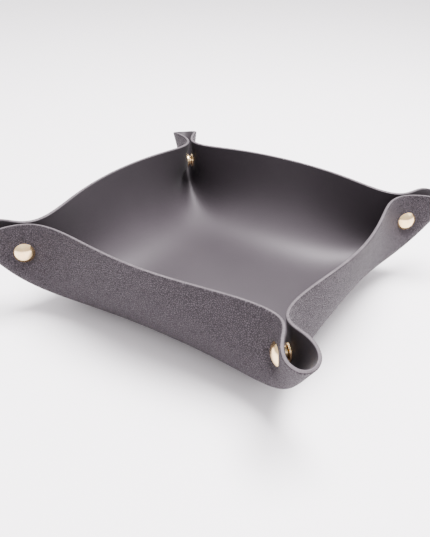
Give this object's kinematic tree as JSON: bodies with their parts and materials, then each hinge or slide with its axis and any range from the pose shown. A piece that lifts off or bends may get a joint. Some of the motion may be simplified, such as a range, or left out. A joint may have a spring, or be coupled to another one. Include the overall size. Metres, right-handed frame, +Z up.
{
  "type": "folding dice tray",
  "caption": "Square leather dice tray whose snapped corners pinch four walls up from the base and open out flat",
  "frame": {"origin": "centre of the base's underside, on the surface the tray stands on", "axes": "+Z up, +Y towards the back wall, +X towards the right wall"},
  "size_m": [0.219, 0.219, 0.0607],
  "materials": {
    "leather_body": "smooth satin inside, fine pebble grain outside",
    "leather_ear": "smooth satin inside, fine pebble grain outside",
    "snap_gold": "polished pale gold plate"
  },
  "bodies": {
    "base": {"base_panel": "leather_body"},
    "wall_back": {"wall_back": "leather_body"},
    "ear_back_right": {"ear_back_right": "leather_ear", "stud_back_right": "snap_gold", "post_back_right": "snap_gold"},
    "tip_back_right": {"tip_back_right": "leather_ear"},
    "ear_back_left": {"ear_back_left": "leather_ear", "stud_back_left": "snap_gold", "post_back_left": "snap_gold"},
    "tip_back_left": {"tip_back_left": "leather_ear"},
    "wall_right": {"wall_right": "leather_body"},
    "ear_right_front": {"ear_right_front": "leather_ear", "stud_front_right": "snap_gold", "post_front_right": "snap_gold"},
    "tip_right_front": {"tip_right_front": "leather_ear"},
    "ear_right_back": {"ear_right_back": "leather_ear", "cap_back_right": "snap_gold", "socket_back_right": "snap_gold"},
    "tip_right_back": {"tip_right_back": "leather_ear"},
    "wall_front": {"wall_front": "leather_body"},
    "ear_front_left": {"ear_front_left": "leather_ear", "cap_front_left": "snap_gold", "socket_front_left": "snap_gold"},
    "tip_front_left": {"tip_front_left": "leather_ear"},
    "ear_front_right": {"ear_front_right": "leather_ear", "cap_front_right": "snap_gold", "socket_front_right": "snap_gold"},
    "tip_front_right": {"tip_front_right": "leather_ear"},
    "wall_left": {"wall_left": "leather_body"},
    "ear_left_back": {"ear_left_back": "leather_ear", "cap_back_left": "snap_gold", "socket_back_left": "snap_gold"},
    "tip_left_back": {"tip_left_back": "leather_ear"},
    "ear_left_front": {"ear_left_front": "leather_ear", "stud_front_left": "snap_gold", "post_front_left": "snap_gold"},
    "tip_left_front": {"tip_left_front": "leather_ear"}
  },
  "joints": [
    {"name": "hinge_wall_back", "type": "hinge", "parent": "base", "child": "wall_back", "pos_m": [0, 0.0671, 0.0076], "axis": [-1, 0, 0], "range_deg": [0, 48]},
    {"name": "hinge_ear_back_right", "type": "hinge", "parent": "wall_back", "child": "ear_back_right", "pos_m": [0.0671, 0.0671, 0.0076], "axis": [-0.2639, -0.3831, -0.8852], "range_deg": [0, 36.88]},
    {"name": "hinge_tip_back_right", "type": "hinge", "parent": "ear_back_right", "child": "tip_back_right", "pos_m": [0.0671, 0.0671, 0.0076], "axis": [0.5022, 0.6178, 0.6051], "range_deg": [0, 63.46]},
    {"name": "hinge_ear_back_left", "type": "hinge", "parent": "wall_back", "child": "ear_back_left", "pos_m": [-0.0671, 0.0671, 0.0076], "axis": [-0.2639, 0.3831, 0.8852], "range_deg": [0, 36.88]},
    {"name": "hinge_tip_back_left", "type": "hinge", "parent": "ear_back_left", "child": "tip_back_left", "pos_m": [-0.0671, 0.0671, 0.0076], "axis": [0.5022, -0.6178, -0.6051], "range_deg": [0, 63.46]},
    {"name": "hinge_wall_right", "type": "hinge", "parent": "base", "child": "wall_right", "pos_m": [0.0671, 0, 0.0076], "axis": [0, 1, 0], "range_deg": [0, 48]},
    {"name": "hinge_ear_right_front", "type": "hinge", "parent": "wall_right", "child": "ear_right_front", "pos_m": [0.0671, -0.0671, 0.0076], "axis": [-0.3831, 0.2639, -0.8852], "range_deg": [0, 36.88]},
    {"name": "hinge_tip_right_front", "type": "hinge", "parent": "ear_right_front", "child": "tip_right_front", "pos_m": [0.0671, -0.0671, 0.0076], "axis": [0.6178, -0.5022, 0.6051], "range_deg": [0, 63.46]},
    {"name": "hinge_ear_right_back", "type": "hinge", "parent": "wall_right", "child": "ear_right_back", "pos_m": [0.0671, 0.0671, 0.0076], "axis": [0.3831, 0.2639, 0.8852], "range_deg": [0, 36.88]},
    {"name": "hinge_tip_right_back", "type": "hinge", "parent": "ear_right_back", "child": "tip_right_back", "pos_m": [0.0671, 0.0671, 0.0076], "axis": [-0.6178, -0.5022, -0.6051], "range_deg": [0, 63.46]},
    {"name": "hinge_wall_front", "type": "hinge", "parent": "base", "child": "wall_front", "pos_m": [0, -0.0671, 0.0076], "axis": [1, 0, 0], "range_deg": [0, 48]},
    {"name": "hinge_ear_front_left", "type": "hinge", "parent": "wall_front", "child": "ear_front_left", "pos_m": [-0.0671, -0.0671, 0.0076], "axis": [0.2639, 0.3831, -0.8852], "range_deg": [0, 36.88]},
    {"name": "hinge_tip_front_left", "type": "hinge", "parent": "ear_front_left", "child": "tip_front_left", "pos_m": [-0.0671, -0.0671, 0.0076], "axis": [-0.5022, -0.6178, 0.6051], "range_deg": [0, 63.46]},
    {"name": "hinge_ear_front_right", "type": "hinge", "parent": "wall_front", "child": "ear_front_right", "pos_m": [0.0671, -0.0671, 0.0076], "axis": [0.2639, -0.3831, 0.8852], "range_deg": [0, 36.88]},
    {"name": "hinge_tip_front_right", "type": "hinge", "parent": "ear_front_right", "child": "tip_front_right", "pos_m": [0.0671, -0.0671, 0.0076], "axis": [-0.5022, 0.6178, -0.6051], "range_deg": [0, 63.46]},
    {"name": "hinge_wall_left", "type": "hinge", "parent": "base", "child": "wall_left", "pos_m": [-0.0671, 0, 0.0076], "axis": [0, -1, 0], "range_deg": [0, 48]},
    {"name": "hinge_ear_left_back", "type": "hinge", "parent": "wall_left", "child": "ear_left_back", "pos_m": [-0.0671, 0.0671, 0.0076], "axis": [0.3831, -0.2639, -0.8852], "range_deg": [0, 36.88]},
    {"name": "hinge_tip_left_back", "type": "hinge", "parent": "ear_left_back", "child": "tip_left_back", "pos_m": [-0.0671, 0.0671, 0.0076], "axis": [-0.6178, 0.5022, 0.6051], "range_deg": [0, 63.46]},
    {"name": "hinge_ear_left_front", "type": "hinge", "parent": "wall_left", "child": "ear_left_front", "pos_m": [-0.0671, -0.0671, 0.0076], "axis": [-0.3831, -0.2639, 0.8852], "range_deg": [0, 36.88]},
    {"name": "hinge_tip_left_front", "type": "hinge", "parent": "ear_left_front", "child": "tip_left_front", "pos_m": [-0.0671, -0.0671, 0.0076], "axis": [0.6178, 0.5022, -0.6051], "range_deg": [0, 63.46]}
  ],
  "couplings": [
    {"joint": "hinge_ear_back_right", "follows": "hinge_wall_back", "ratio": 0.76841},
    {"joint": "hinge_tip_back_right", "follows": "hinge_wall_back", "ratio": 1.3221},
    {"joint": "hinge_ear_back_left", "follows": "hinge_wall_back", "ratio": 0.76841},
    {"joint": "hinge_tip_back_left", "follows": "hinge_wall_back", "ratio": 1.3221},
    {"joint": "hinge_wall_right", "follows": "hinge_wall_back", "ratio": 1},
    {"joint": "hinge_ear_right_front", "follows": "hinge_wall_back", "ratio": 0.76841},
    {"joint": "hinge_tip_right_front", "follows": "hinge_wall_back", "ratio": 1.3221},
    {"joint": "hinge_ear_right_back", "follows": "hinge_wall_back", "ratio": 0.76841},
    {"joint": "hinge_tip_right_back", "follows": "hinge_wall_back", "ratio": 1.3221},
    {"joint": "hinge_wall_front", "follows": "hinge_wall_back", "ratio": 1},
    {"joint": "hinge_ear_front_left", "follows": "hinge_wall_back", "ratio": 0.76841},
    {"joint": "hinge_tip_front_left", "follows": "hinge_wall_back", "ratio": 1.3221},
    {"joint": "hinge_ear_front_right", "follows": "hinge_wall_back", "ratio": 0.76841},
    {"joint": "hinge_tip_front_right", "follows": "hinge_wall_back", "ratio": 1.3221},
    {"joint": "hinge_wall_left", "follows": "hinge_wall_back", "ratio": 1},
    {"joint": "hinge_ear_left_back", "follows": "hinge_wall_back", "ratio": 0.76841},
    {"joint": "hinge_tip_left_back", "follows": "hinge_wall_back", "ratio": 1.3221},
    {"joint": "hinge_ear_left_front", "follows": "hinge_wall_back", "ratio": 0.76841},
    {"joint": "hinge_tip_left_front", "follows": "hinge_wall_back", "ratio": 1.3221}
  ]
}
